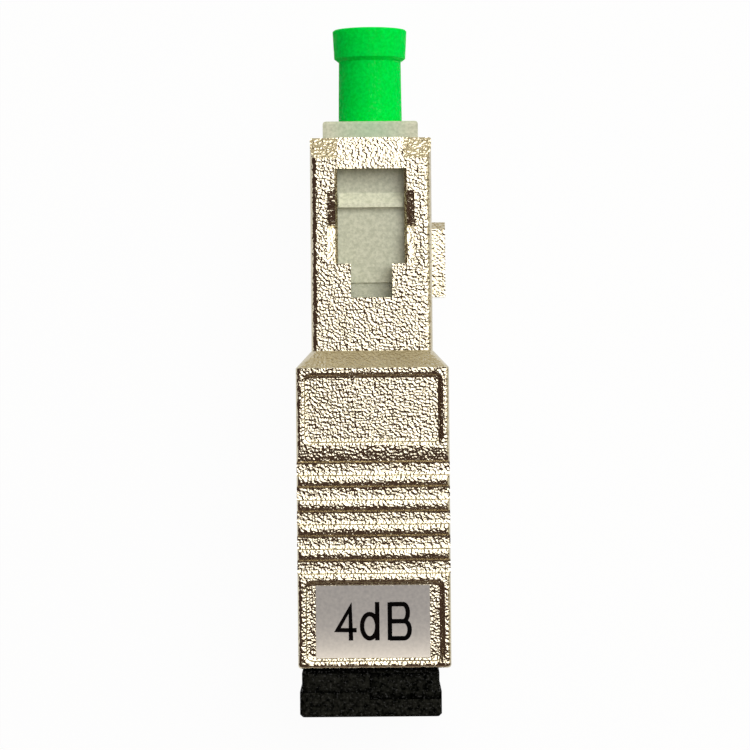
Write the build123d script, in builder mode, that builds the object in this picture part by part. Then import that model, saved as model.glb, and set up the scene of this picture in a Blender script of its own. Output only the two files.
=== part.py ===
from build123d import *
from math import radians, tan
import os

os.makedirs("parts", exist_ok=True)

# A plug-to-socket fibre attenuator lying on its back, in millimetres.
# The optical axis runs along Y, with the plug end at +Y. The key is on +X, and +Z is up.

# Fits, each the gap on one side
slide_gap = 0.05
running_gap = 0.02
sleeve_gap = 0.01
end_gap = 0.05
keyway_gap = 0.1

# Travels
release_stroke = 1.5
ferrule_float = 0.9

# Lengths inside the body, from its shoulder to its mouth
cavity_setback = 1.18
flange_thickness = 1.2
base_thickness = 2.5
socket_floor_depth = 11.8
mating_depth = 13.5

# Lengths along the axis, from the socket end to the plug end
head_length = 2.98
core_length = release_stroke + flange_thickness + base_thickness + socket_floor_depth
body_length = cavity_setback + end_gap + core_length
ramp_length = 1.05
plug_length = 13.0
frame_reach = 1.1
cap_reach = 5.85
overall_length = head_length + body_length + ramp_length + plug_length + frame_reach + cap_reach

# Cross sections: the socket takes a plug like the part's own, and its walls make the body
plug_width = 7.4
plug_depth = 9.0
frame_width = 5.84
frame_depth = 6.7
side_wall = 0.9
face_wall = 0.925
socket_width = plug_width + 2 * slide_gap
socket_depth = plug_depth + 2 * slide_gap
body_width = socket_width + 2 * side_wall
body_depth = socket_depth + 2 * face_wall
plug_edge_round = 0.4
body_edge_round = 0.25
nose_edge_round = 0.12
mouth_edge_round = 0.22

# Stations along the axis
end_y = -overall_length / 2
mouth_y = end_y + head_length
shoulder_y = mouth_y + body_length
neck_y = shoulder_y + ramp_length
nose_y = neck_y + plug_length
frame_front_y = nose_y + frame_reach
cap_top_y = frame_front_y + cap_reach
axis_height = body_depth / 2

# Window in each upper and lower face of the plug end, measured back from the nose
bridge_length = 1.9
bridge_thickness = 0.45
bridge_fall = 0.13
window_width = 4.08
window_length = 5.8
slot_width = 2.53
slot_length = 2.07
pocket_start = 3.25
pocket_end = 5.5
pocket_reach = 0.62
pocket_share = 0.82
lead_in_length = 1.28
lead_in_depth = 0.55
window_wall = (plug_depth - frame_depth) / 2 - slide_gap
pocket_rear_depth = pocket_share * window_wall
pocket_front_depth = pocket_rear_depth / 3
cam_low = 2 * pocket_rear_depth / 3
cam_high = pocket_rear_depth / 4
window_chamfer = window_wall / 7

# Key on the +X side
key_start = 5.07
key_length = 4.63
key_height = 0.86
key_width = 3.2
key_lead_in = 0.43

# Panels in each broad face of the body: their walls are steep between two gentle slopes
panel_margin = 0.36
panel_width = body_width - 2 * panel_margin
upper_panel_start = 0.27
upper_panel_length = 4.4
label_panel_margin = 0.29
label_panel_length = 5.1
corner_round = 0.55
gentle_depth = 0.04
gentle_slope = 16
steep_depth = 0.12
steep_slope = 62
panel_depth = 2 * gentle_depth + steep_depth

# Grip grooves in each broad face: round ridges, with a steep wall and a steep step between them
groove_pitch = 1.49
groove_depth = 0.25
land_above = 0.965
first_land_run = 0.9
first_land_drop = 0.09
wall_run = 0.09
heel_run = 0.12
heel_drop = 0.03
floor_length = 0.4
toe_run = 0.24
toe_rise = 0.037
step_run = 0.06
groove_run = wall_run + heel_run + floor_length + toe_run + step_run
half_ridge = (groove_pitch - groove_run) / 2
ridge_drop = 0.046
land_below = 0.02

# Socket at the rear
socket_round = 0.2
socket_lead_in = 0.2
keyway_width = key_width + 2 * keyway_gap
keyway_length = 6.0

# Ferrule and what is round it, from the inside out
ferrule_radius = 1.25
ferrule_reach = 2.1
ferrule_room = 0.15
tip_radius = 0.8
tip_length = 0.5
polish_angle = 8
fibre_radius = 0.0625
tail_wall = 0.3
tail_room = 0.3
collar_shoulder = 0.15
collar_round = 0.5
collar_thickness = 1.5
spring_inner_gap = 0.1
spring_outer_gap = 0.2
wire_radius = 0.2
spring_turns = 5
wire_sides = 6
tail_radius = ferrule_radius + tail_wall
collar_size = 2 * (tail_radius + collar_shoulder)
spring_radius = tail_radius + spring_inner_gap + wire_radius
bore_radius = spring_radius + wire_radius + spring_outer_gap

# Dust cap of the ferrule
cap_wall = 0.72
cap_skirt_depth = 2.6
cap_neck_step = 0.045
cap_flare = 0.24
cap_top_flare = 0.33
cap_flare_length = 1.77
cap_chamfer = 0.22
cap_bevel = 0.08
cap_space = 0.6
cap_skirt_radius = ferrule_radius + cap_wall

# Plug frame: its heights above the axis are steps down from its guided part
nose_step = 0.35
frame_edge_round = 0.2
recess_gap = 0.35
recess_length = 5.4
recess_chamfer = 0.15
seat_thickness = 1.2
square_pocket_round = 0.45
pocket_shortfall = 0.2
crest_step = 0.05
crest_start = 4.4
crest_end = 5.31
crest_flat = 0.25
notch_step = 0.5
notch_length = 4.6
tail_step = 0.7
tail_length = 1.15
frame_nose_depth = frame_depth - 2 * nose_step
crest_height = frame_depth / 2 - crest_step
notch_height = frame_depth / 2 - notch_step
tail_height = frame_depth / 2 - tail_step
recess_radius = cap_skirt_radius + recess_gap
square_pocket = collar_size + 2 * slide_gap
square_pocket_length = collar_thickness - pocket_shortfall

# Stop ring, sleeve and latch holder
ring_thickness = 0.8
sleeve_length = 11.4
sleeve_wall = 0.34
sleeve_slit = 0.35
sleeve_end_play = 0.2
sleeve_room = 0.1
tube_wall = 0.5
lip_thickness = 0.8
lip_room = 0.1
hook_width = 3.7
hook_flex_room = 0.6
hook_thickness = 0.55
hook_latch_height = 0.5
hook_latch_reach = 7.4
hook_latch_flat = 0.35
hook_nose_length = 1.5
hook_tip_thickness = 0.35
lug_length = 1.4
lug_width = 3.0
lug_height = 0.4
lug_flat = 0.5
lug_setback = 0.6
sleeve_bore_radius = ferrule_radius + sleeve_gap
sleeve_radius = sleeve_bore_radius + sleeve_wall
holder_bore_radius = sleeve_radius + sleeve_room
tube_radius = holder_bore_radius + tube_wall
hook_outer = socket_depth / 2 - hook_flex_room
hook_inner = hook_outer - hook_thickness
hook_latch = hook_inner - hook_latch_height
hook_tip_inner = hook_outer - hook_tip_thickness

# Dust plug of the socket
insert_end_room = 0.85
insert_wall = 0.8
insert_lead_in = 0.15
head_side_inset = 0.335
head_face_inset = 0.425
head_width = body_width - 2 * head_side_inset
head_depth = body_depth - 2 * head_face_inset
head_offset = -0.26
head_edge_round = 0.4
head_end_chamfer = 0.16
rim_length = 1.5
block_step = 0.13
throat_length = 0.33
throat_step = 0.24
quarter_step = 0.3
quarter_left = -0.32
quarter_length = 1.6
hollow_floor = 0.5

# Label
label_side_margin = 0.825
label_end_margin = 0.35
label_width = panel_width - 2 * label_side_margin
label_length = label_panel_length - 2 * label_end_margin
label_thickness = 0.1
label_offset = -0.09

# Stations inside
cavity_end_y = shoulder_y - cavity_setback
core_flange_y = cavity_end_y - end_gap - release_stroke
core_joint_y = core_flange_y - flange_thickness
socket_floor_y = core_joint_y - base_thickness
mating_y = mouth_y + mating_depth
ferrule_tip_y = frame_front_y + ferrule_reach
recess_floor_y = frame_front_y - recess_length
seat_y = recess_floor_y - seat_thickness
collar_rear_y = seat_y - collar_thickness
sleeve_front_y = mating_y + sleeve_length / 2
ring_rear_y = sleeve_front_y + sleeve_end_play
ring_front_y = ring_rear_y + ring_thickness
spring_length = collar_rear_y - ring_front_y
collar_tail_length = spring_length - ferrule_float - tail_room
lip_front_y = mating_y - sleeve_length / 2 - sleeve_end_play
lip_rear_y = lip_front_y - lip_thickness
crest_start_y = frame_front_y - crest_start
crest_end_y = frame_front_y - crest_end
notch_end_y = crest_end_y - notch_length
tail_end_y = notch_end_y - tail_length
hook_latch_y = mating_y - hook_latch_reach
hook_tip_y = hook_latch_y - hook_latch_flat - hook_nose_length
insert_length = hook_tip_y - insert_end_room - mouth_y
lug_front_y = core_joint_y - lug_setback
lug_rear_y = lug_front_y - lug_length
window_end_y = nose_y - bridge_length - window_length

# Grip grooves fill the space between the two panels
first_wall_y = shoulder_y - upper_panel_start - upper_panel_length - land_above
last_rise_y = mouth_y + label_panel_margin + label_panel_length + land_below
groove_count = 1 + int((first_wall_y - last_rise_y - groove_run - half_ridge) / groove_pitch)

optical_axis = Axis((0, 0, axis_height), (0, 1, 0))
axial = Plane.XY.offset(axis_height)
upright = Plane(origin=(0, 0, axis_height), x_dir=(0, 1, 0), z_dir=(1, 0, 0))
under_face = Plane.XY
upper_face = Plane(origin=(0, 0, body_depth), x_dir=(-1, 0, 0), z_dir=(0, 0, -1))


def rearward(y):
    """A plane across the axis that extrudes towards the socket end: its x is +X and its y is +Z."""
    return Plane(origin=(0, y, axis_height), x_dir=(1, 0, 0), z_dir=(0, -1, 0))


def forward(y):
    """A plane across the axis that extrudes towards the plug end."""
    return Plane(origin=(0, y, axis_height), x_dir=(1, 0, 0), z_dir=(0, 1, 0))


def beside_window(edge):
    """Whether an edge runs along the side of a window, on the outside of the wall."""
    middle = edge.center()
    on_side = abs(abs(middle.X) - window_width / 2) < window_chamfer / 2
    outside_wall = abs(middle.Z - axis_height) > frame_depth / 2 + slide_gap + window_chamfer / 2
    in_window = window_end_y < middle.Y < nose_y - bridge_length
    along_axis = abs((edge @ 1).Y - (edge @ 0).Y) > window_chamfer
    return on_side and outside_wall and in_window and along_axis


# Shell: the plug block, the ramp and the body
with BuildPart() as outer_shell:
    with BuildSketch(rearward(shoulder_y)):
        RectangleRounded(body_width, body_depth, body_edge_round)
    extrude(amount=body_length)
    fillet(outer_shell.faces().sort_by(Axis.Y)[0].edges(), mouth_edge_round)
    with BuildSketch(rearward(neck_y)):
        RectangleRounded(plug_width, plug_depth, plug_edge_round)
    with BuildSketch(rearward(shoulder_y)):
        RectangleRounded(body_width, body_depth, body_edge_round)
    loft(ruled=True)
    with BuildSketch(rearward(nose_y)):
        RectangleRounded(plug_width, plug_depth, plug_edge_round)
    extrude(amount=plug_length)
    fillet(outer_shell.faces().sort_by(Axis.Y)[-1].edges(), nose_edge_round)

    # Key, narrowed at its front by a lead-in on both sides
    key_front = nose_y - key_start
    key_half = key_width / 2
    with BuildSketch(upright.offset(plug_width / 2)):
        Polygon(
            (key_front, key_half - key_lead_in),
            (key_front, key_lead_in - key_half),
            (key_front - key_lead_in, -key_half),
            (key_front - key_length, -key_half),
            (key_front - key_length, key_half),
            (key_front - key_lead_in, key_half),
            align=None,
        )
    extrude(amount=key_height)

    # Passage for the plug frame, and the channels where the mating hooks enter
    with BuildSketch(rearward(nose_y)):
        Rectangle(frame_width + 2 * slide_gap, frame_depth + 2 * slide_gap)
    extrude(amount=nose_y - cavity_end_y, mode=Mode.SUBTRACT)
    with BuildSketch(rearward(nose_y)):
        Rectangle(window_width, plug_depth - 2 * bridge_thickness)
    extrude(amount=nose_y - window_end_y, mode=Mode.SUBTRACT)

    # Socket with a lead-in at its mouth, and the keyway through its +X wall
    with BuildSketch(rearward(cavity_end_y)):
        RectangleRounded(socket_width, socket_depth, socket_round)
    extrude(amount=cavity_end_y - mouth_y, mode=Mode.SUBTRACT)
    with BuildSketch(forward(mouth_y)):
        Rectangle(socket_width + 2 * socket_lead_in, socket_depth + 2 * socket_lead_in)
    extrude(amount=socket_lead_in, taper=45, mode=Mode.SUBTRACT)
    with BuildSketch(upright.offset(socket_width / 2 - socket_round)):
        with Locations((mouth_y + keyway_length / 2, 0)):
            Rectangle(keyway_length, keyway_width)
    extrude(amount=body_width, mode=Mode.SUBTRACT)

    # Slots inside the side walls, where the lugs of the latch holder run
    slot_rear_y = lug_rear_y - running_gap
    slot_front_y = lug_front_y + release_stroke + end_gap
    with BuildSketch(axial):
        with Locations((0, (slot_rear_y + slot_front_y) / 2)):
            Rectangle(socket_width + 2 * (lug_height + slide_gap), slot_front_y - slot_rear_y)
    extrude(amount=lug_width / 2 + slide_gap, both=True, mode=Mode.SUBTRACT)

    # Window through both faces: the wide part and the narrow slot behind it
    with BuildSketch(axial):
        with Locations((0, window_end_y + window_length / 2)):
            Rectangle(window_width, window_length)
        with Locations((0, window_end_y - slot_length / 2)):
            Rectangle(slot_width, slot_length)
    extrude(amount=plug_depth, both=True, mode=Mode.SUBTRACT)

    # Beside each window: a pocket that deepens to the rear, and behind it a cam strip that rises again
    pocket_front_y = nose_y - pocket_start
    pocket_rear_y = nose_y - pocket_end
    outside = plug_depth
    surface = plug_depth / 2
    for side in (1, -1):
        with BuildSketch(upright):
            Polygon(
                (pocket_front_y, side * (surface - pocket_front_depth)),
                (pocket_front_y, side * outside),
                (window_end_y, side * outside),
                (window_end_y, side * (surface - cam_high)),
                (pocket_rear_y, side * (surface - cam_low)),
                (pocket_rear_y, side * (surface - pocket_rear_depth)),
                align=None,
            )
        extrude(amount=window_width / 2 + pocket_reach, both=True, mode=Mode.SUBTRACT)

    # Chamfers along both sides of each window
    chamfer(outer_shell.edges().filter_by(beside_window), window_chamfer)

    # Sloped lead-ins at the nose, on both sides of each bridge
    for side in (1, -1):
        for hand in (1, -1):
            with BuildSketch(upright.offset(hand * window_width / 2)):
                Polygon(
                    (nose_y, side * (surface - lead_in_depth)),
                    (nose_y - lead_in_length, side * surface),
                    (nose_y - lead_in_length, side * outside),
                    (nose_y + frame_reach, side * outside),
                    (nose_y + frame_reach, side * (surface - lead_in_depth)),
                    align=None,
                )
            extrude(amount=hand * plug_width, mode=Mode.SUBTRACT)

    # Each bridge falls a little towards the nose
    for side in (1, -1):
        with BuildSketch(upright):
            Polygon(
                (nose_y - bridge_length, side * surface),
                (nose_y, side * (surface - bridge_fall)),
                (nose_y, side * surface),
                align=None,
            )
        extrude(amount=window_width / 2, both=True, mode=Mode.SUBTRACT)

    # Sunk panels in the upper and under face, each cut in three tapered steps
    upper_panel_y = shoulder_y - upper_panel_start - upper_panel_length / 2
    label_panel_y = mouth_y + label_panel_margin + label_panel_length / 2
    panel_steps = ((gentle_depth, gentle_slope), (steep_depth, steep_slope), (gentle_depth, gentle_slope))
    for face in (upper_face, under_face):
        for centre_y, length in ((upper_panel_y, upper_panel_length), (label_panel_y, label_panel_length)):
            sunk = 0
            inset = 0
            for step_depth, slope in panel_steps:
                with BuildSketch(face.offset(sunk)):
                    with Locations((0, centre_y)):
                        RectangleRounded(panel_width - 2 * inset, length - 2 * inset, corner_round - inset)
                extrude(amount=step_depth, taper=90 - slope, mode=Mode.SUBTRACT)
                sunk += step_depth
                inset += step_depth / tan(radians(slope))

    # Grip grooves, each from the top of the ridge in front to the top of the ridge behind
    skin = body_depth / 2
    trough = skin - groove_depth
    for side in (1, -1):
        for index in range(groove_count):
            wall_y = first_wall_y - index * groove_pitch
            heel_y = wall_y - wall_run
            floor_y = heel_y - heel_run
            toe_y = floor_y - floor_length
            step_y = toe_y - toe_run
            ridge_y = step_y - step_run
            front_y = wall_y + (half_ridge if index else first_land_run)
            back_y = ridge_y - half_ridge
            wall_drop = ridge_drop if index else first_land_drop
            with BuildSketch(upright):
                with BuildLine():
                    front = TangentArc(
                        (front_y, side * skin),
                        (wall_y, side * (skin - wall_drop)),
                        tangent=(-1, 0),
                    )
                    heel = TangentArc(
                        (floor_y, side * trough),
                        (heel_y, side * (trough + heel_drop)),
                        tangent=(1, 0),
                    )
                    toe = TangentArc(
                        (toe_y, side * trough),
                        (step_y, side * (trough + toe_rise)),
                        tangent=(-1, 0),
                    )
                    back = TangentArc(
                        (back_y, side * skin),
                        (ridge_y, side * (skin - ridge_drop)),
                        tangent=(1, 0),
                    )
                    Line(front @ 1, heel @ 1)
                    Line(heel @ 0, toe @ 0)
                    Line(toe @ 1, back @ 1)
                    Polyline(
                        back @ 0,
                        (back_y, side * (skin + groove_depth)),
                        (front_y, side * (skin + groove_depth)),
                        front @ 0,
                    )
                make_face()
            extrude(amount=body_width, both=True, mode=Mode.SUBTRACT)
outer_shell.part.label = "outer_shell"
export_step(outer_shell.part, "parts/outer_shell.step")


# Plug frame: a nose, a guided rear part and a flange in the body's cavity
with BuildPart() as plug_frame:
    with BuildSketch(rearward(frame_front_y)):
        Rectangle(frame_width, frame_nose_depth)
    extrude(amount=frame_front_y - tail_end_y)
    fillet(plug_frame.faces().sort_by(Axis.Y)[-1].edges(), frame_edge_round)
    with BuildSketch(rearward(tail_end_y)):
        Rectangle(frame_width, frame_depth)
    extrude(amount=tail_end_y - core_flange_y)
    with BuildSketch(rearward(core_flange_y)):
        RectangleRounded(socket_width - 2 * slide_gap, socket_depth - 2 * slide_gap, socket_round)
    extrude(amount=flange_thickness)

    # Crest that the mating hooks climb, the notch they drop in, and a lower tail behind it
    for side in (1, -1):
        with BuildSketch(upright):
            Polygon(
                (crest_start_y, side * notch_height),
                (crest_start_y, side * frame_nose_depth / 2),
                (crest_end_y + crest_flat, side * crest_height),
                (crest_end_y, side * crest_height),
                (crest_end_y, side * notch_height),
                align=None,
            )
        extrude(amount=window_width / 2 - slide_gap, both=True)
        with BuildSketch(upright):
            Polygon(
                (crest_end_y, side * notch_height),
                (crest_end_y, side * crest_height),
                (tail_end_y, side * crest_height),
                (tail_end_y, side * tail_height),
                (notch_end_y, side * tail_height),
                (notch_end_y, side * notch_height),
                align=None,
            )
        extrude(amount=frame_width, both=True, mode=Mode.SUBTRACT)

    # Front recess round the ferrule, the seat of its collar, and the spring's bore
    with BuildSketch(rearward(frame_front_y)):
        Circle(recess_radius)
    extrude(amount=recess_length, mode=Mode.SUBTRACT)
    with BuildSketch(rearward(frame_front_y)):
        Circle(recess_radius + recess_chamfer)
    extrude(amount=recess_chamfer, taper=45, mode=Mode.SUBTRACT)
    with BuildSketch(rearward(recess_floor_y)):
        Circle(ferrule_radius + ferrule_room)
    extrude(amount=seat_thickness, mode=Mode.SUBTRACT)
    with BuildSketch(rearward(seat_y)):
        RectangleRounded(square_pocket, square_pocket, square_pocket_round)
    extrude(amount=square_pocket_length, mode=Mode.SUBTRACT)
    with BuildSketch(rearward(seat_y - square_pocket_length)):
        Circle(bore_radius)
    extrude(amount=seat_y - square_pocket_length - core_joint_y, mode=Mode.SUBTRACT)
plug_frame.part.label = "plug_frame"
export_step(plug_frame.part, "parts/plug_frame.step")


# Latch holder: base, spigot into the frame, sleeve tube, two hooks and two lugs
with BuildPart() as latch_holder:
    with BuildSketch(rearward(core_joint_y)):
        RectangleRounded(socket_width - 2 * slide_gap, socket_depth - 2 * slide_gap, socket_round)
    extrude(amount=core_joint_y - socket_floor_y)
    with BuildSketch(rearward(ring_rear_y)):
        Circle(bore_radius - running_gap)
    extrude(amount=ring_rear_y - core_joint_y)
    with BuildSketch(rearward(socket_floor_y)):
        Circle(tube_radius)
    extrude(amount=socket_floor_y - lip_rear_y)
    chamfer(latch_holder.faces().sort_by(Axis.Y)[0].edges(), recess_chamfer)

    # Hooks, above and below the tube
    for side in (1, -1):
        with BuildSketch(upright):
            Polygon(
                (socket_floor_y, side * hook_inner),
                (socket_floor_y, side * hook_outer),
                (hook_tip_y, side * hook_outer),
                (hook_tip_y, side * hook_tip_inner),
                (hook_latch_y - hook_latch_flat, side * hook_latch),
                (hook_latch_y, side * hook_latch),
                (hook_latch_y, side * hook_inner),
                align=None,
            )
        extrude(amount=hook_width / 2, both=True)

    # Lugs that hold the core in the shell, sloped at the front for assembly
    base_half = socket_width / 2 - slide_gap
    for hand in (1, -1):
        with BuildSketch(axial):
            Polygon(
                (hand * base_half, lug_front_y),
                (hand * (base_half + lug_height), lug_rear_y + lug_flat),
                (hand * (base_half + lug_height), lug_rear_y),
                (hand * base_half, lug_rear_y),
                align=None,
            )
        extrude(amount=lug_width / 2, both=True)

    # Bore for the sleeve, and the smaller hole in the lip that keeps it in
    with BuildSketch(rearward(ring_rear_y)):
        Circle(holder_bore_radius)
    extrude(amount=ring_rear_y - lip_front_y, mode=Mode.SUBTRACT)
    with BuildSketch(rearward(lip_front_y)):
        Circle(ferrule_radius + lip_room)
    extrude(amount=lip_thickness, mode=Mode.SUBTRACT)
latch_holder.part.label = "latch_holder"
export_step(latch_holder.part, "parts/latch_holder.step")


# Stop ring on the end of the holder's spigot
with BuildPart() as stop_ring:
    with BuildSketch(rearward(ring_front_y)):
        Circle(bore_radius - running_gap)
        Circle(ferrule_radius + ferrule_room, mode=Mode.SUBTRACT)
    extrude(amount=ring_thickness)
stop_ring.part.label = "stop_ring"
export_step(stop_ring.part, "parts/stop_ring.step")


# Split sleeve, slit along its length
with BuildPart() as split_sleeve:
    with BuildSketch(rearward(sleeve_front_y)):
        Circle(sleeve_radius)
        Circle(sleeve_bore_radius, mode=Mode.SUBTRACT)
        with Locations((sleeve_radius, 0)):
            Rectangle(2 * sleeve_radius, sleeve_slit, mode=Mode.SUBTRACT)
    extrude(amount=sleeve_length)
split_sleeve.part.label = "split_sleeve"
export_step(split_sleeve.part, "parts/split_sleeve.step")


# Polished end planes of the ferrule and its fibre, both tilted in the upright plane
front_way = Vector(0, 1, 0).rotate(Axis.X, polish_angle)
front_polish = Plane(origin=(0, ferrule_tip_y, axis_height), z_dir=front_way)
rear_polish = Plane(origin=(0, mating_y, axis_height), z_dir=-front_way)

# Ferrule, coned at both ends
with BuildPart() as ferrule:
    with BuildSketch(axial):
        Polygon(
            (fibre_radius, mating_y - tip_length),
            (tip_radius, mating_y - tip_length / 2),
            (ferrule_radius, mating_y + tip_length),
            (ferrule_radius, ferrule_tip_y - tip_length),
            (tip_radius, ferrule_tip_y + tip_length / 2),
            (fibre_radius, ferrule_tip_y + tip_length),
            align=None,
        )
    revolve(axis=optical_axis)
    split(bisect_by=front_polish, keep=Keep.BOTTOM)
    split(bisect_by=rear_polish, keep=Keep.BOTTOM)
ferrule.part.label = "ferrule"
export_step(ferrule.part, "parts/ferrule.step")


# Attenuating fibre in the ferrule's bore
with BuildPart() as attenuating_fibre:
    with BuildSketch(rearward(ferrule_tip_y + tip_length)):
        Circle(fibre_radius)
    extrude(amount=ferrule_tip_y - mating_y + 2 * tip_length)
    split(bisect_by=front_polish, keep=Keep.BOTTOM)
    split(bisect_by=rear_polish, keep=Keep.BOTTOM)
attenuating_fibre.part.label = "attenuating_fibre"
export_step(attenuating_fibre.part, "parts/attenuating_fibre.step")


# Ferrule flange: a square collar and a round tail inside the spring
with BuildPart() as ferrule_flange:
    with BuildSketch(rearward(seat_y)):
        RectangleRounded(collar_size, collar_size, collar_round)
    extrude(amount=collar_thickness)
    with BuildSketch(rearward(collar_rear_y)):
        Circle(tail_radius)
    extrude(amount=collar_tail_length)
    with BuildSketch(rearward(seat_y)):
        Circle(ferrule_radius)
    extrude(amount=collar_thickness + collar_tail_length, mode=Mode.SUBTRACT)
ferrule_flange.part.label = "ferrule_flange"
export_step(ferrule_flange.part, "parts/ferrule_flange.step")


# Ferrule spring, ground flat where it meets the ring and the collar
with BuildPart() as ferrule_spring:
    with BuildLine() as coil:
        Helix(
            pitch=spring_length / spring_turns,
            height=spring_length,
            radius=spring_radius,
            center=(0, ring_front_y, axis_height),
            direction=(0, 1, 0),
        )
    with BuildSketch(Plane(origin=coil.line @ 0, z_dir=coil.line % 0)):
        RegularPolygon(wire_radius, wire_sides)
    sweep(is_frenet=True)
    split(bisect_by=forward(ring_front_y), keep=Keep.TOP)
    split(bisect_by=forward(collar_rear_y), keep=Keep.BOTTOM)
ferrule_spring.part.label = "ferrule_spring"
export_step(ferrule_spring.part, "parts/ferrule_spring.step")


# Ferrule cap: a skirt on the ferrule, and a flared head to pull it by
with BuildPart() as ferrule_cap:
    skirt_y = frame_front_y - cap_skirt_depth
    flare_y = cap_top_y - cap_flare_length
    with BuildSketch(axial):
        with BuildLine():
            Polyline(
                (0, skirt_y),
                (cap_skirt_radius, skirt_y),
                (cap_skirt_radius, frame_front_y),
                (cap_skirt_radius - cap_neck_step, flare_y - cap_chamfer),
                (cap_skirt_radius + cap_flare, flare_y),
                (cap_skirt_radius + cap_top_flare, cap_top_y - cap_bevel),
                (cap_skirt_radius + cap_top_flare - cap_bevel, cap_top_y),
                (0, cap_top_y),
                close=True,
            )
        make_face()
    revolve(axis=optical_axis)
    with BuildSketch(forward(skirt_y)):
        Circle(ferrule_radius + running_gap)
    extrude(amount=ferrule_tip_y + cap_space - skirt_y, mode=Mode.SUBTRACT)
ferrule_cap.part.label = "ferrule_cap"
export_step(ferrule_cap.part, "parts/ferrule_cap.step")


# Dust plug: a head outside the mouth, and a hollow insert in the socket
with BuildPart() as dust_plug:
    throat_y = mouth_y - throat_length
    rim_y = end_y + rim_length
    block_width = head_width - 2 * block_step
    block_depth = head_depth - 2 * block_step
    with BuildSketch(rearward(rim_y)):
        with Locations((head_offset, 0)):
            RectangleRounded(head_width, head_depth, head_edge_round)
    extrude(amount=rim_length)
    chamfer(dust_plug.faces().sort_by(Axis.Y)[0].edges(), head_end_chamfer)
    with BuildSketch(rearward(throat_y)):
        with Locations((head_offset, 0)):
            RectangleRounded(block_width, block_depth, head_edge_round)
    extrude(amount=throat_y - rim_y)
    with BuildSketch(rearward(mouth_y)):
        with Locations((head_offset, 0)):
            Rectangle(head_width - 2 * throat_step, head_depth - 2 * throat_step)
    extrude(amount=throat_length)

    # A quarter of the block is a step lower: right of its middle on the upper face, left on the under face
    for side in (1, -1):
        with BuildSketch(upright.offset(head_offset + side * (quarter_left - head_offset))):
            with Locations((throat_y - quarter_length / 2, side * head_depth / 2)):
                Rectangle(quarter_length, 2 * (block_step + quarter_step))
        extrude(amount=side * head_width, mode=Mode.SUBTRACT)

    # Insert, hollow from its inner end, with a lead-in
    insert_width = socket_width - 2 * slide_gap
    insert_depth = socket_depth - 2 * slide_gap
    with BuildSketch(forward(mouth_y)):
        RectangleRounded(insert_width, insert_depth, socket_round)
    extrude(amount=insert_length)
    chamfer(dust_plug.faces().sort_by(Axis.Y)[-1].edges(), insert_lead_in)
    with BuildSketch(rearward(mouth_y + insert_length)):
        Rectangle(insert_width - 2 * insert_wall, insert_depth - 2 * insert_wall)
    extrude(amount=insert_length - hollow_floor, mode=Mode.SUBTRACT)
dust_plug.part.label = "dust_plug"
export_step(dust_plug.part, "parts/dust_plug.step")


# Value label on the floor of the lower panel
with BuildPart() as value_label:
    with BuildSketch(Plane.XY.offset(body_depth - panel_depth)):
        with Locations((label_offset, label_panel_y)):
            Rectangle(label_width, label_length)
    extrude(amount=label_thickness)
value_label.part.label = "value_label"
export_step(value_label.part, "parts/value_label.step")
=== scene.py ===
import bpy
import math
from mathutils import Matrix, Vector


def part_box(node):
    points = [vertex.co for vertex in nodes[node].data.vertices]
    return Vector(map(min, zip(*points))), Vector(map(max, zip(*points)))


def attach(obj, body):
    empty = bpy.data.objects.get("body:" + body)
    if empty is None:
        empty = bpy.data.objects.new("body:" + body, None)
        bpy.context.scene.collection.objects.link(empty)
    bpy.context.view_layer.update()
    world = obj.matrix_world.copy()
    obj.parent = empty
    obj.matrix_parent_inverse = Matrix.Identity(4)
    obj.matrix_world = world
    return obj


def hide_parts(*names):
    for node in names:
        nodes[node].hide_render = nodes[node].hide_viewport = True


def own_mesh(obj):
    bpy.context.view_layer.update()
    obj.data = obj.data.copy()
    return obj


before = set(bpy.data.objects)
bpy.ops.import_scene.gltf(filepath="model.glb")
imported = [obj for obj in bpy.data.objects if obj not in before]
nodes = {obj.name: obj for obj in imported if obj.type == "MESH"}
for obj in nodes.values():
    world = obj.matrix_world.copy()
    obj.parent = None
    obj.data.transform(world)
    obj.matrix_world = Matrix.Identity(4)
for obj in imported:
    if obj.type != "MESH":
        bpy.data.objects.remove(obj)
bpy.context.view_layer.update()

# Lengths are in metres, in the part's own frame, and the scales of grain in cycles per metre
MM = 0.001
shell_low, shell_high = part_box("outer_shell")
axis_height = (shell_low.z + shell_high.z) / 2

# Camera, straight above the windowed face and turned a little about the line of sight
camera_x = 0.16 * MM
camera_y = -0.335 * MM
camera_distance = 201 * MM
camera_lens = 154.9
camera_sensor = 36
camera_clip = 10 * MM
camera_roll = math.radians(-0.5)

# One soft light overhead to the upper right, by the angles from the zenith at which its edges are seen
key_light_height = 350 * MM
key_light_left = math.radians(-5)
key_light_right = math.radians(40)
key_light_near = math.radians(-3.5)
key_light_far = math.radians(44)
key_light_power = 1.2

# Room: dark brown, and tan low down at the upper right
room_bright_way = (0.55, 0.80, 0.10)
room_tones = (
    (0.00, (0.070, 0.041, 0.034)),
    (0.58, (0.090, 0.055, 0.044)),
    (0.70, (0.28, 0.235, 0.175)),
    (0.82, (0.84, 0.78, 0.60)),
    (1.00, (0.60, 0.53, 0.38)),
)

# Room towards both ends of the part, where it is paler, by the share of a direction that lies along the part
room_end_start = 0.55
room_end_full = 0.95
room_end_share = 0.7
room_end_tone = (0.46, 0.375, 0.295)

# Floor, and how much of what is seen of it is plain white
floor_half = 1.5
floor_tone = 0.9
floor_white = 0.96

# Nickel plate: two tones in patches, a pebbled skin and a finer grain on it
nickel_dark = (0.565, 0.508, 0.375)
nickel_pale = (0.64, 0.58, 0.44)
nickel_smooth = 0.07
nickel_rough = 0.13
patch_scale = 900
patch_detail = 3
pebble_scale = 6600
pebble_detail = 0.6
pebble_depth = 0.053 * MM
fine_scale = 14000
fine_detail = 1
fine_depth = 0.008 * MM

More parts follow.
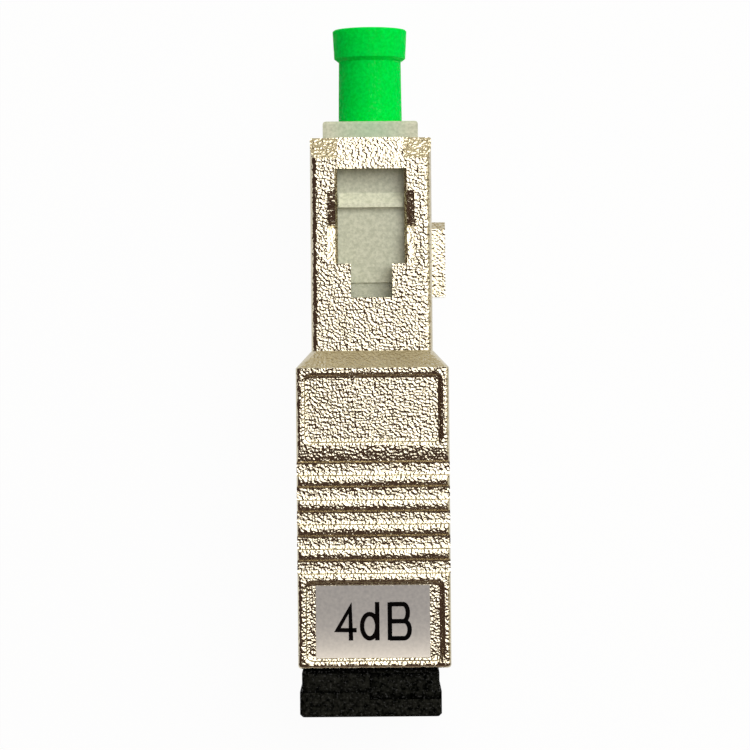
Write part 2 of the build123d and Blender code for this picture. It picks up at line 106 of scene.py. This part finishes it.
# Moulded plastics: the detail of their tones, how far the roughness swings, and the glint of single spots
tone_detail = 3
plastic_swing = 0.06
spot_detail = 1
spot_start = 0.56
spot_full = 0.72

# Plain metal of the hidden pieces
metal_swing = 0.05
metal_tone_scale = 3000
metal_grain_scale = 9000
metal_grain_depth = 0.004 * MM

# Frame: painted light and shade along the part, from the foot of the slot to the bar across the window:
# painted shade at the foot of the slot and painted light on the bar
frame_painted_shading = (
    (4.40 * MM, 0.60),
    (5.10 * MM, 0.64),
    (5.30 * MM, 0.80),
    (9.82 * MM, 0.80),
    (9.87 * MM, 1.00),
    (10.80 * MM, 1.00),
    (10.88 * MM, 0.80),
)

# Painted green light that the cap casts into the frame round its foot
cap_light_colour = (0.30, 0.68, 0.38)
cap_light_share = 0.5
cap_light_reach = 2.6 * MM

# Light inside the cap's plastic: its share, and its reach in red, green and blue
cap_inner_share = 0.5
cap_inner_reach = (0.1, 0.8, 0.25)
cap_inner_scale = 1.0 * MM

# Painted shade on the dust plug, from ambient occlusion in its inner corners: how far out of an inner corner
# it reaches, and how dark it is
corner_reach = 0.4 * MM
corner_depth = 4.0
corner_samples = 8

# Label film: its two tones, how late the pale one comes along it, its speckle and its grain
film_dark = (0.315, 0.309, 0.320)
film_pale = (1.0, 0.95, 0.885)
film_fade = 3.6
film_speckle = 0.3
film_speckle_scale = 5000
film_roughness = 0.5
film_specular = 0.3
film_grain_scale = 7000
film_grain_detail = 3
film_grain_depth = 0.003 * MM

# Doped glass of the fibre
glass_dark = (0.86, 0.9, 0.92)
glass_pale = (0.95, 0.97, 1.0)
glass_tone_scale = 4000
glass_transmission = 0.9
glass_roughness = 0.05

# Ferrule spring: its turns, the steps of each turn, and its wire
spring_turns = 5
steps_per_turn = 28
wire_radius = 0.2 * MM
wire_sides = 10

# Printed rating on the label: the line it stands on, its height, its strokes and each character's span
print_base = -16.415 * MM
print_height = 2.32 * MM
print_stroke = 0.27 * MM
print_thickness = 0.012 * MM
print_overlap = 0.003 * MM
mitre_limit = 1.5
print_spans = {
    "4": (-2.38 * MM, -1.085 * MM),
    "d": (-0.867 * MM, 0.297 * MM),
    "B": (0.818 * MM, 2.25 * MM),
}

# Characters, as shares of their span and height
four_stem = 0.733
four_top = 0.92
four_tip = 0.08
four_bar = 0.268
d_stem = 0.89
d_centre = (0.494, 0.37)
d_radii = (0.396, 0.317)
b_stem = 0.08
b_stem_top = 0.988
b_upper_bar = 0.653
b_upper_reach = 0.19
b_lower_bar = 0.683
b_lower_reach = 0.234
b_top = 0.94
b_waist = 0.494
b_foot = 0.047
ring_steps = 32
bowl_steps = 14


# Helpers for node trees
def set_inputs(tree, node, inputs):
    """Sets a node's inputs, by name or number, to values or links them to outputs of other nodes."""
    for key, value in inputs.items():
        if isinstance(value, bpy.types.NodeSocket):
            tree.links.new(value, node.inputs[key])
        else:
            node.inputs[key].default_value = value


def add_node(tree, kind, inputs, **settings):
    """A node of that kind, with its inputs and settings."""
    node = tree.nodes.new(kind)
    for name, value in settings.items():
        setattr(node, name, value)
    set_inputs(tree, node, inputs)
    return node


def new_material(name):
    """A node material, with its tree and its main shader."""
    mat = bpy.data.materials.new(name)
    mat.use_nodes = True
    return mat, mat.node_tree, main_shader(mat)


def main_shader(mat):
    """The main shader of a material."""
    return mat.node_tree.nodes["Principled BSDF"]


def object_place(tree):
    """The place on the part."""
    return tree.nodes.new("ShaderNodeTexCoord").outputs["Object"]


def lengthwise(tree, place):
    """The Y of a place or a direction."""
    return add_node(tree, "ShaderNodeSeparateXYZ", {"Vector": place}).outputs["Y"]


def grain(tree, scale, detail=2.0):
    """Noise on the part."""
    inputs = {"Vector": object_place(tree), "Scale": scale, "Detail": detail}
    return add_node(tree, "ShaderNodeTexNoise", inputs).outputs["Fac"]


def compute(tree, operation, *terms):
    """Arithmetic on numbers and outputs of other nodes."""
    return add_node(tree, "ShaderNodeMath", dict(enumerate(terms)), operation=operation).outputs["Value"]


def rescale(tree, value, start=0.0, end=1.0, low=0.0, high=1.0):
    """From low to high as the value goes from start to end."""
    inputs = {"Value": value, "From Min": start, "From Max": end, "To Min": low, "To Max": high}
    return add_node(tree, "ShaderNodeMapRange", inputs).outputs["Result"]


def tone_ramp(tree, factor, stops):
    """Colour by a factor, through stops of a position and a colour."""
    node = add_node(tree, "ShaderNodeValToRGB", {"Fac": factor})
    elements = node.color_ramp.elements
    elements.remove(elements[1])
    for index, (position, colour) in enumerate(stops):
        stop = elements[0] if index == 0 else elements.new(position)
        stop.position = position
        stop.color = (*colour, 1)
    return node.outputs["Color"]


def two_tones(tree, factor, low, high, start=0.35, end=0.65):
    """Colour from low to high as the factor goes from start to end."""
    return tone_ramp(tree, factor, ((start, low), (end, high)))


def mix_colours(tree, blend_type, share, first, second):
    """Two colours mixed by a share."""
    inputs = {"Fac": share, "Color1": first, "Color2": second}
    return add_node(tree, "ShaderNodeMixRGB", inputs, blend_type=blend_type).outputs["Color"]


def mix_into_base(mat, blend_type, share, colour):
    """Mixes a colour into the base colour of a material."""
    base = main_shader(mat).inputs["Base Color"]
    mixed = mix_colours(mat.node_tree, blend_type, share, base.links[0].from_socket, colour)
    mat.node_tree.links.new(mixed, base)


def bump(tree, height, depth, below=None):
    """Normal from a height of that depth, on top of another normal."""
    inputs = {"Height": height, "Strength": 1.0, "Distance": depth}
    if below is not None:
        inputs["Normal"] = below
    return add_node(tree, "ShaderNodeBump", inputs).outputs["Normal"]


# Helpers for pieces
def dress(name, mat):
    """Puts the material on a CAD node."""
    slot = nodes[name].material_slots[0]
    slot.link = "OBJECT"
    slot.material = mat


def add_piece(name, verts, faces, mat):
    """An object of its own, from its points and faces."""
    mesh = bpy.data.meshes.new(name)
    mesh.from_pydata(verts, [], faces)
    mesh.materials.append(mat)
    piece = bpy.data.objects.new(name, mesh)
    bpy.context.scene.collection.objects.link(piece)
    return piece


# Nickel plate on a die casting
def nickel_plate():
    mat, tree, shader = new_material("nickel_plate")
    patches = grain(tree, patch_scale, patch_detail)
    pebbles = bump(tree, grain(tree, pebble_scale, pebble_detail), pebble_depth)
    set_inputs(tree, shader, {
        "Metallic": 1.0,
        "Base Color": two_tones(tree, patches, nickel_dark, nickel_pale),
        "Roughness": rescale(tree, patches, low=nickel_smooth, high=nickel_rough),
        "Normal": bump(tree, grain(tree, fine_scale, fine_detail), fine_depth, pebbles),
    })
    return mat


# Moulded plastic: two close tones and a fine grain, with glints in spots where it has any
def moulded(name, low, high, roughness, grain_scale, grain_depth, specular=0.5, glint=0.0, tone_scale=700):
    mat, tree, shader = new_material(name)
    tone = grain(tree, tone_scale, tone_detail)
    set_inputs(tree, shader, {
        "Base Color": two_tones(tree, tone, low, high),
        "Roughness": rescale(tree, tone, low=roughness - plastic_swing, high=roughness + plastic_swing),
        "Specular IOR Level": specular,
        "Normal": bump(tree, grain(tree, grain_scale), grain_depth),
    })
    if glint:
        spots = grain(tree, 2 * grain_scale, spot_detail)
        level = two_tones(tree, spots, (specular,) * 3, (glint,) * 3, spot_start, spot_full)
        set_inputs(tree, shader, {"Specular IOR Level": level})
    return mat


# Plain metal, drawn or turned
def bright_metal(name, low, high, roughness):
    mat, tree, shader = new_material(name)
    tone = grain(tree, metal_tone_scale, tone_detail)
    set_inputs(tree, shader, {
        "Metallic": 1.0,
        "Base Color": two_tones(tree, tone, low, high),
        "Roughness": rescale(tree, tone, low=roughness - metal_swing, high=roughness + metal_swing),
        "Normal": bump(tree, grain(tree, metal_grain_scale), metal_grain_depth),
    })
    return mat


# Grey label film, lighter towards the socket end
def label_film():
    mat, tree, shader = new_material("label_film")
    label_low, label_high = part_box("value_label")
    along = rescale(tree, lengthwise(tree, object_place(tree)), label_high.y, label_low.y)
    rise = compute(tree, "POWER", along, film_fade)
    speckle = compute(tree, "MULTIPLY", grain(tree, film_speckle_scale), film_speckle)
    tone = compute(tree, "MULTIPLY_ADD", rise, 1 - film_speckle / 2, speckle)
    film_grain = grain(tree, film_grain_scale, film_grain_detail)
    set_inputs(tree, shader, {
        "Base Color": two_tones(tree, tone, film_dark, film_pale, 0.0, 1.0),
        "Roughness": film_roughness,
        "Specular IOR Level": film_specular,
        "Normal": bump(tree, film_grain, film_grain_depth),
    })
    return mat


# Doped glass
def fibre_glass():
    mat, tree, shader = new_material("fibre_glass")
    set_inputs(tree, shader, {
        "Base Color": two_tones(tree, grain(tree, glass_tone_scale), glass_dark, glass_pale),
        "Transmission Weight": glass_transmission,
        "Roughness": glass_roughness,
    })
    return mat


# Painted shade in the inner corners of a plastic, its base colour darkened by ambient occlusion
def corner_painted_shade(mat):
    tree = mat.node_tree
    inputs = {"Distance": corner_reach}
    openness = add_node(tree, "ShaderNodeAmbientOcclusion", inputs, samples=corner_samples).outputs["AO"]
    unshaded_share = compute(tree, "POWER", openness, corner_depth)
    mix_into_base(mat, "MULTIPLY", 1.0, unshaded_share)


# Painted light and shade along the frame, as factors on its base colour
def painted_shading_along(mat, tones):
    tree = mat.node_tree
    start = tones[0][0]
    end = tones[-1][0]
    along = rescale(tree, lengthwise(tree, object_place(tree)), start, end)
    stops = [((place - start) / (end - start), (shade,) * 3) for place, shade in tones]
    mix_into_base(mat, "MULTIPLY", 1.0, tone_ramp(tree, along, stops))


# Painted green light from the cap in the frame, fading out with the distance from the cap's axis at the
# frame's front
def painted_cap_light(mat):
    tree = mat.node_tree
    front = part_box("plug_frame")[1].y
    flat = add_node(tree, "ShaderNodeVectorMath", {0: object_place(tree), 1: (1, 1, 0)}, operation="MULTIPLY")
    inputs = {0: flat.outputs["Vector"], 1: (0, front, 0)}
    away = add_node(tree, "ShaderNodeVectorMath", inputs, operation="DISTANCE").outputs["Value"]
    share = rescale(tree, away, end=cap_light_reach, low=cap_light_share, high=0.0)
    mix_into_base(mat, "MIX", share, (*cap_light_colour, 1))


# Light that spreads inside the cap's plastic
def cap_translucent(mat):
    set_inputs(mat.node_tree, main_shader(mat), {
        "Subsurface Weight": cap_inner_share,
        "Subsurface Radius": cap_inner_reach,
        "Subsurface Scale": cap_inner_scale,
    })


# Off-white plastic of the frame
off_white = moulded(
    "frame_plastic",
    low=(0.68, 0.72, 0.545),
    high=(0.91, 0.94, 0.745),
    roughness=0.42,
    grain_scale=6000,
    grain_depth=0.014 * MM,
    specular=0.35,
    tone_scale=5000,
)
# Painted shade at the foot of the slot and painted light on the bar across the window
painted_shading_along(off_white, frame_painted_shading)
# Painted green light from the cap round its foot
painted_cap_light(off_white)

# Off-white plastic of the holder and the ring
holder_white = moulded(
    "holder_plastic",
    low=(0.62, 0.59, 0.48),
    high=(0.70, 0.67, 0.56),
    roughness=0.45,
    grain_scale=2600,
    grain_depth=0.006 * MM,
    specular=0.35,
)

# Polished zirconia
zirconia = moulded(
    "zirconia",
    low=(0.86, 0.85, 0.80),
    high=(0.92, 0.91, 0.87),
    roughness=0.16,
    grain_scale=5000,
    grain_depth=0.001 * MM,
)

# Green plastic of the cap
green = moulded(
    "cap_green",
    low=(0.0005, 0.76, 0.058),
    high=(0.0005, 0.90, 0.085),
    roughness=0.25,
    grain_scale=4200,
    grain_depth=0.008 * MM,
    specular=0.0,
    glint=0.15,
    tone_scale=5000,
)
cap_translucent(green)

# Black plastic of the dust plug
black = moulded(
    "plug_black",
    low=(0.0006, 0.0008, 0.0005),
    high=(0.018, 0.0185, 0.0152),
    roughness=0.38,
    grain_scale=3800,
    grain_depth=0.04 * MM,
    specular=0.0,
    glint=0.3,
    tone_scale=4000,
)
# Painted shade in the dust plug's seams and in the gap under the shell's mouth
corner_painted_shade(black)

# Ink of the rating
ink = moulded(
    "print_ink",
    low=(0.001, 0.001, 0.001),
    high=(0.003, 0.002, 0.002),
    roughness=0.6,
    grain_scale=5000,
    grain_depth=0.002 * MM,
    specular=0.02,
)

# Metals of the flange and the spring
flange_metal = bright_metal("flange_metal", low=(0.66, 0.60, 0.48), high=(0.78, 0.72, 0.60), roughness=0.25)
spring_wire = bright_metal("spring_wire", low=(0.48, 0.47, 0.45), high=(0.62, 0.61, 0.59), roughness=0.3)

dress("outer_shell", nickel_plate())
dress("plug_frame", off_white)
dress("latch_holder", holder_white)
dress("stop_ring", holder_white)
dress("split_sleeve", zirconia)
dress("ferrule", zirconia)
dress("attenuating_fibre", fibre_glass())
dress("ferrule_flange", flange_metal)
dress("ferrule_cap", green)
dress("dust_plug", black)
dress("value_label", label_film())


# Ferrule spring: a coil from the ring to the collar, ground flat at both ends
def coil_spring():
    low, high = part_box("ferrule_spring")
    radius = (high.x - low.x) / 2 - wire_radius
    length = high.y - low.y
    rings = spring_turns * steps_per_turn
    verts = []
    for ring in range(rings + 1):
        turn = 2 * math.pi * ring / steps_per_turn
        for side in range(wire_sides):
            angle = 2 * math.pi * side / wire_sides
            out = radius + wire_radius * math.cos(angle)
            along = low.y + length * ring / rings + wire_radius * math.sin(angle)
            ground = min(max(along, low.y), high.y)
            verts.append((out * math.sin(turn), ground, axis_height + out * math.cos(turn)))
    faces = []
    for ring in range(rings):
        here = ring * wire_sides
        ahead = here + wire_sides
        for side in range(wire_sides):
            after = (side + 1) % wire_sides
            faces.append((here + side, here + after, ahead + after, ahead + side))
    faces.append(tuple(reversed(range(wire_sides))))
    faces.append(tuple(rings * wire_sides + side for side in range(wire_sides)))
    piece = add_piece("spring_coil", verts, faces, spring_wire)
    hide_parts("ferrule_spring")
    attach(piece, "core")
    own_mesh(piece)


coil_spring()


# Printed rating: strokes drawn in a unit square and fitted to each character's span on the label
def arc(centre, radii, start, turn, steps):
    """Points along part of an ellipse, by angles in degrees."""
    angles = [math.radians(start + turn * index / steps) for index in range(steps + 1)]
    return [(centre[0] + radii[0] * math.cos(a), centre[1] + radii[1] * math.sin(a)) for a in angles]


def bowl(stem, bar_end, reach, top, base):
    """A bar from the stem, a half ellipse out to its reach, and a bar back to the stem."""
    centre = (bar_end, (top + base) / 2)
    radii = (reach, (top - base) / 2)
    return [(stem, top), *arc(centre, radii, 90, -180, bowl_steps), (stem, base)]


print_strokes = {
    "4": (
        [(four_stem, 0), (four_stem, four_top), (four_tip, four_bar), (1, four_bar)],
    ),
    "d": (
        [(d_stem, 0), (d_stem, 1)],
        arc(d_centre, d_radii, 0, 360, ring_steps),
    ),
    "B": (
        [(b_stem, 0), (b_stem, b_stem_top)],
        bowl(b_stem, b_upper_bar, b_upper_reach, b_top, b_waist),
        bowl(b_stem, b_lower_bar, b_lower_reach, b_waist, b_foot),
    ),
}


def stroke_sides(points):
    """The left and right side of a stroke at each point, mitred where it turns."""
    half = print_stroke / 2
    last = len(points) - 1
    sides = []
    for index, here in enumerate(points):
        leaving = (points[min(index + 1, last)] - points[min(index, last - 1)]).normalized()
        arriving = (points[max(index, 1)] - points[max(index - 1, 0)]).normalized()
        across = Vector((-leaving.y - arriving.y, leaving.x + arriving.x, 0)).normalized()
        inner = half / across.dot(Vector((-leaving.y, leaving.x, 0)))
        outer = min(inner, mitre_limit * half)
        turns_left = arriving.cross(leaving).z > 0
        to_left = inner if turns_left else outer
        to_right = outer if turns_left else inner
        sides.append((here + across * to_left, here - across * to_right))
    return sides


def printed(letter, span):
    """One character as a thin layer of ink on the label."""
    start, end = span
    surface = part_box("value_label")[1].z
    corners = 4
    verts = []
    faces = []
    for order, stroke in enumerate(print_strokes[letter]):
        places = [(start + x * (end - start), print_base + y * print_height) for x, y in stroke]
        points = [Vector((x, y, surface)) for x, y in places]
        rise = Vector((0, 0, print_thickness + order * print_overlap))
        first = len(verts)
        for left, right in stroke_sides(points):
            verts += [left, right, right + rise, left + rise]
        last = len(verts) - corners
        for here in range(first, last, corners):
            ahead = here + corners
            for corner in range(corners):
                after = (corner + 1) % corners
                faces.append((here + corner, here + after, ahead + after, ahead + corner))
        faces += [(first + 3, first + 2, first + 1, first), (last, last + 1, last + 2, last + 3)]
    piece = add_piece("rating_" + letter, verts, faces, ink)
    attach(piece, "housing")


for letter, span in print_spans.items():
    printed(letter, span)


# Floor: white to the camera and in mirrors, with a faint shadow
def pale_floor():
    mat = bpy.data.materials.new("floor")
    mat.use_nodes = True
    tree = mat.node_tree
    tree.nodes.clear()
    path = tree.nodes.new("ShaderNodeLightPath").outputs
    bent = compute(tree, "MAXIMUM", path["Is Glossy Ray"], path["Is Transmission Ray"])
    seen = compute(tree, "MAXIMUM", path["Is Camera Ray"], bent)
    share = compute(tree, "MULTIPLY", seen, floor_white)
    lit = add_node(tree, "ShaderNodeBsdfDiffuse", {"Color": (floor_tone, floor_tone, floor_tone, 1)})
    plain = add_node(tree, "ShaderNodeEmission", {"Color": (1, 1, 1, 1), "Strength": 1.0})
    shaders = {0: share, 1: lit.outputs["BSDF"], 2: plain.outputs["Emission"]}
    mix = add_node(tree, "ShaderNodeMixShader", shaders)
    add_node(tree, "ShaderNodeOutputMaterial", {"Surface": mix.outputs["Shader"]})
    corners = [(-1, -1), (1, -1), (1, 1), (-1, 1)]
    verts = [(x * floor_half, y * floor_half, 0) for x, y in corners]
    floor = add_piece("floor", verts, [(0, 1, 2, 3)], mat)


pale_floor()


# Soft box, level above the object
def soft_box():
    left = key_light_height * math.tan(key_light_left)
    right = key_light_height * math.tan(key_light_right)
    near = key_light_height * math.tan(key_light_near)
    far = key_light_height * math.tan(key_light_far)
    light = bpy.data.lights.new("key_light", "AREA")
    light.shape = "RECTANGLE"
    light.size = right - left
    light.size_y = far - near
    light.energy = key_light_power
    lamp = bpy.data.objects.new("key_light", light)
    lamp.location = ((left + right) / 2, (near + far) / 2, axis_height + key_light_height)
    bpy.context.scene.collection.objects.link(lamp)


soft_box()


# Room round the object
def room():
    world = bpy.data.worlds.new("room")
    world.use_nodes = True
    tree = world.node_tree
    way = tree.nodes.new("ShaderNodeTexCoord").outputs["Generated"]
    inputs = {0: way, 1: Vector(room_bright_way).normalized()}
    facing = add_node(tree, "ShaderNodeVectorMath", inputs, operation="DOT_PRODUCT").outputs["Value"]
    tones = tone_ramp(tree, rescale(tree, facing, start=-1), room_tones)
    endwise = compute(tree, "ABSOLUTE", lengthwise(tree, way))
    share = rescale(tree, endwise, room_end_start, room_end_full, high=room_end_share)
    colour = mix_colours(tree, "LIGHTEN", share, tones, (*room_end_tone, 1))
    set_inputs(tree, tree.nodes["Background"], {"Color": colour})
    bpy.context.scene.world = world


room()


# Camera
def main_camera():
    data = bpy.data.cameras.new("camera")
    data.lens = camera_lens
    data.sensor_width = camera_sensor
    data.clip_start = camera_clip
    camera = bpy.data.objects.new("camera", data)
    camera.location = (camera_x, camera_y, axis_height + camera_distance)
    camera.rotation_euler = (0, 0, camera_roll)
    bpy.context.scene.collection.objects.link(camera)
    bpy.context.scene.camera = camera


main_camera()

bpy.context.scene.view_settings.view_transform = "Standard"
